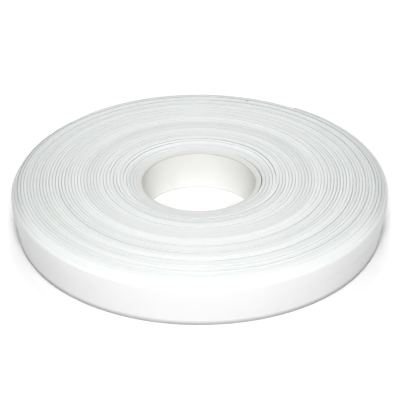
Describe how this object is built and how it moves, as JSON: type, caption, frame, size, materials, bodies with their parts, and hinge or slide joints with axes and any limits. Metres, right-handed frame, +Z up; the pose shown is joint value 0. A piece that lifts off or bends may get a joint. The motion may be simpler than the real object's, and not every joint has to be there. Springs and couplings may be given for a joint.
{
  "type": "lay-flat tree guard tube roll",
  "caption": "Flat roll of soft, milky guard tubing pressed flat and wound on a rigid ring core, with a taped free end that peels off.",
  "frame": {"origin": "on the roll's axis, at the centre of the face that the roll lies on", "axes": "+Z up along the roll's axis; the free end of the tube is taped down on the +X +Y side and is wound anticlockwise seen from above"},
  "size_m": [0.2522, 0.2512, 0.0316],
  "materials": {
    "core": "smooth warm white plastic with a satin inner wall",
    "tube": "soft milky translucent plastic, glossy on the flat face and pale green-grey along the folded edges",
    "tape": "clear glossy adhesive tape"
  },
  "bodies": {
    "roll": {"core_tube": "core", "core_start_tape": "tape", "wound_tube": "tube", "outer_turn": "tube"},
    "tail_root_stretch": {"tail_root": "tube"},
    "tail_middle_stretch": {"tail_middle": "tube"},
    "tail_tip_stretch": {"tail_tip": "tube", "tail_tape": "tape"}
  },
  "joints": [
    {"name": "tail_peel", "type": "hinge", "parent": "roll", "child": "tail_root_stretch", "pos_m": [0.11673, 0.04955, 0.016], "axis": [0, 0, -1], "range_deg": [0, 30]},
    {"name": "tail_bend_middle", "type": "hinge", "parent": "tail_root_stretch", "child": "tail_middle_stretch", "pos_m": [0.10518, 0.07094, 0.0164], "axis": [0, 0, -1], "range_deg": [0, 30]},
    {"name": "tail_bend_tip", "type": "hinge", "parent": "tail_middle_stretch", "child": "tail_tip_stretch", "pos_m": [0.08976, 0.08976, 0.0167], "axis": [0, 0, -1], "range_deg": [0, 30]}
  ],
  "couplings": [
    {"joint": "tail_bend_middle", "follows": "tail_peel", "ratio": 1},
    {"joint": "tail_bend_tip", "follows": "tail_peel", "ratio": 1}
  ]
}
